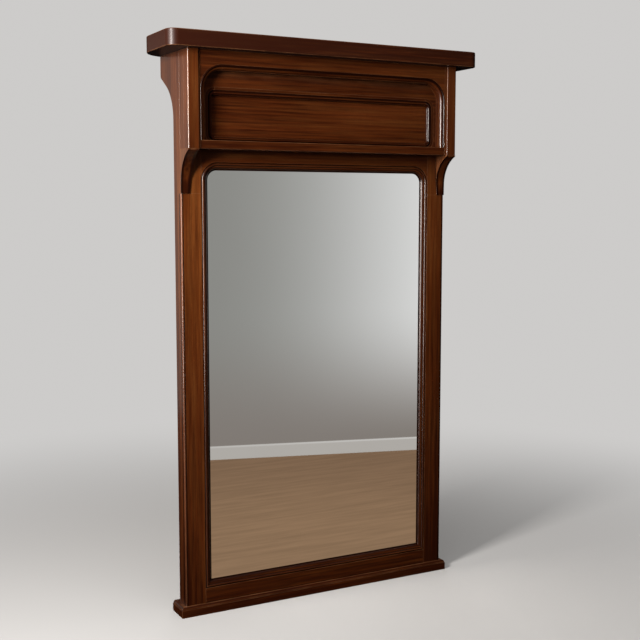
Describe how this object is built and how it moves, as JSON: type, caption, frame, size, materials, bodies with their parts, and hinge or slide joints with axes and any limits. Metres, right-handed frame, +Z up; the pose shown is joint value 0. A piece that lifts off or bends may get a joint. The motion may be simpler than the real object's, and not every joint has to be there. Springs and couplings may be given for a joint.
{
  "type": "trumeau mirror",
  "caption": "Tall upright mirror in a moulded stained-wood frame, with a panelled frieze box on curved corbels, a thick cornice board and a low plinth.",
  "frame": {"origin": "middle of the footprint on the floor: half way across the width and the depth, at the plinth's underside", "axes": "+Z up, mirror faces -Y, +X to the right of someone who looks along +Y into the mirror"},
  "size_m": [1.158, 0.285, 1.9],
  "materials": {
    "stained_hardwood": "reddish brown stain under satin lacquer, straight grain",
    "bare_hardwood": "sawn, unfinished",
    "backing_board": "smooth brown fibreboard",
    "mirror_silver": "clear silvered glass",
    "zinc_steel": "zinc plated",
    "brass": "plain brass, dulled"
  },
  "bodies": {
    "root": {"back_panel_screws": "zinc_steel", "backing_board": "backing_board", "bottom_rail": "stained_hardwood", "corbel_left": "stained_hardwood", "corbel_right": "stained_hardwood", "cornice": "stained_hardwood", "cornice_glue_blocks": "bare_hardwood", "cornice_screws": "zinc_steel", "frieze_back_panel": "backing_board", "frieze_bottom_rail": "stained_hardwood", "frieze_field": "stained_hardwood", "frieze_panel": "stained_hardwood", "frieze_post_left": "stained_hardwood", "frieze_post_right": "stained_hardwood", "frieze_side_left": "stained_hardwood", "frieze_side_right": "stained_hardwood", "frieze_soffit": "stained_hardwood", "frieze_stile_left": "stained_hardwood", "frieze_stile_right": "stained_hardwood", "frieze_top_rail": "stained_hardwood", "hanging_rail": "stained_hardwood", "keyhole_plate_screws": "brass", "keyhole_plates": "brass", "mid_rail": "stained_hardwood", "mirror_glass": "mirror_silver", "opening_bead_corner_left": "stained_hardwood", "opening_bead_corner_right": "stained_hardwood", "opening_bead_left": "stained_hardwood", "opening_bead_right": "stained_hardwood", "opening_bead_top": "stained_hardwood", "plinth": "stained_hardwood", "plinth_screws": "zinc_steel", "retainer_bottom": "stained_hardwood", "retainer_left": "stained_hardwood", "retainer_pins": "zinc_steel", "retainer_right": "stained_hardwood", "retainer_top": "stained_hardwood", "return_board_left": "stained_hardwood", "return_board_right": "stained_hardwood", "sight_corner_left": "stained_hardwood", "sight_corner_right": "stained_hardwood", "sight_moulding_bottom": "stained_hardwood", "sight_moulding_left": "stained_hardwood", "sight_moulding_right": "stained_hardwood", "sight_moulding_top": "stained_hardwood", "stile_left": "stained_hardwood", "stile_right": "stained_hardwood", "sunk_bead_bottom": "stained_hardwood", "sunk_bead_end_left": "stained_hardwood", "sunk_bead_end_right": "stained_hardwood", "sunk_bead_top": "stained_hardwood", "top_rail": "stained_hardwood"}
  },
  "joints": []
}
